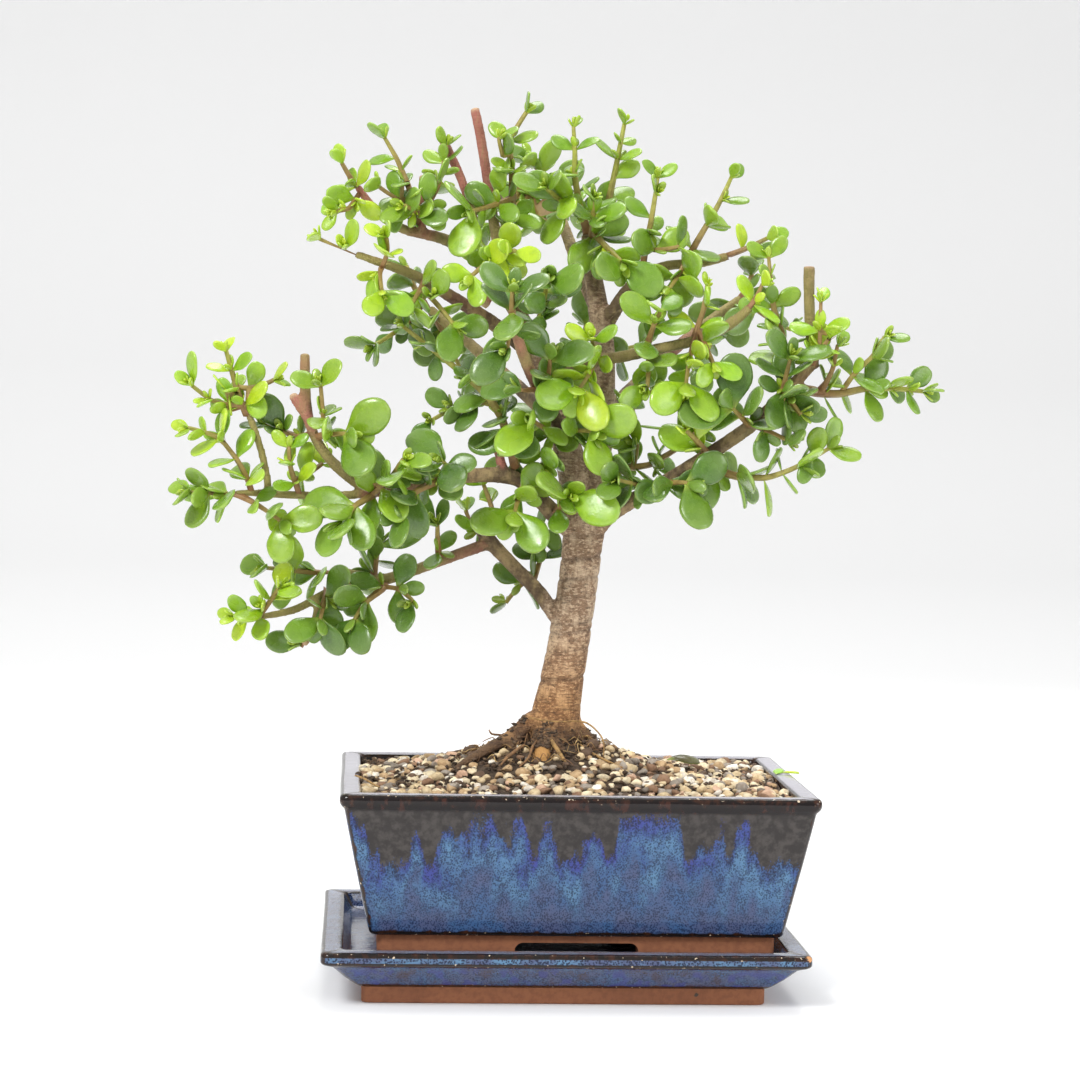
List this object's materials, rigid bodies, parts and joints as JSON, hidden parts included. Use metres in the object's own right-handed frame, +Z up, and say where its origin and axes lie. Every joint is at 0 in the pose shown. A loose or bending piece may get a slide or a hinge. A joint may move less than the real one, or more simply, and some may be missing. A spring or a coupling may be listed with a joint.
{
  "type": "dwarf jade bonsai",
  "caption": "Dwarf jade bonsai with fleshy paired leaves, in a rectangular glazed ceramic pot filled with pebbly soil, standing on a matching saucer.",
  "frame": {"origin": "centre of the saucer's underside", "axes": "+Z up, +X to the right along the pot's length, +Y away from the viewer"},
  "size_m": [0.3302, 0.172, 0.3847],
  "materials": {
    "glaze": "glossy blue and black running glaze over terracotta",
    "gravel": "dull mixed pebbles",
    "mesh": "matte black",
    "bark": "rough grey-brown bark",
    "leaf_lime": "waxy yellow-green leaf",
    "leaf_mid": "waxy green leaf",
    "leaf_dark": "waxy dark green leaf"
  },
  "bodies": {
    "root": {"saucer": "glaze", "pot": "glaze", "drainage_mesh": "mesh", "soil": "gravel", "trunk_and_limbs": "bark", "far_left_crown": "leaf_lime", "far_left_tips": "leaf_lime", "far_left_low": "leaf_mid", "left_upright": "leaf_lime", "left_big_pair": "leaf_mid", "left_inner": "leaf_dark", "left_middle_front": "leaf_mid", "left_middle_large": "leaf_dark", "lower_far_tip": "leaf_mid", "lower_hanging": "leaf_dark", "lower_left_tip": "leaf_lime", "lower_round": "leaf_dark", "lower_middle": "leaf_dark", "lower_upright": "leaf_dark", "lower_knob": "leaf_mid", "lower_inner": "leaf_dark", "left_fork_hanging": "leaf_mid", "trunk_front": "leaf_mid", "long_green": "leaf_dark", "left_canopy_tip": "leaf_lime", "left_canopy_yellow": "leaf_lime", "left_canopy_low": "leaf_mid", "upper_left_tip": "leaf_lime", "upper_left_crown": "leaf_mid", "top_left_crown": "leaf_mid", "upper_left_front": "leaf_lime", "top_crown": "leaf_mid", "top_front": "leaf_mid", "top_right_crown": "leaf_mid", "upper_right_front": "leaf_mid", "upper_right_crown": "leaf_mid", "upper_right_tip": "leaf_lime", "right_riser": "leaf_mid", "right_middle_crown": "leaf_lime", "right_middle_tip": "leaf_lime", "right_middle_front": "leaf_mid", "center_yellow": "leaf_lime", "front_crown": "leaf_dark", "center_glossy": "leaf_dark", "center_dark": "leaf_dark", "center_low": "leaf_mid", "right_dark": "leaf_dark", "right_front": "leaf_dark", "right_light": "leaf_lime", "far_right": "leaf_mid", "right_long_low": "leaf_mid", "right_hanging": "leaf_dark", "right_glossy": "leaf_lime", "right_inner": "leaf_mid", "back_left": "leaf_dark", "back_right": "leaf_dark", "back_top": "leaf_mid", "back_middle": "leaf_dark", "fallen_dark_leaf": "leaf_dark", "fallen_lime_leaf": "leaf_lime"}
  },
  "joints": []
}
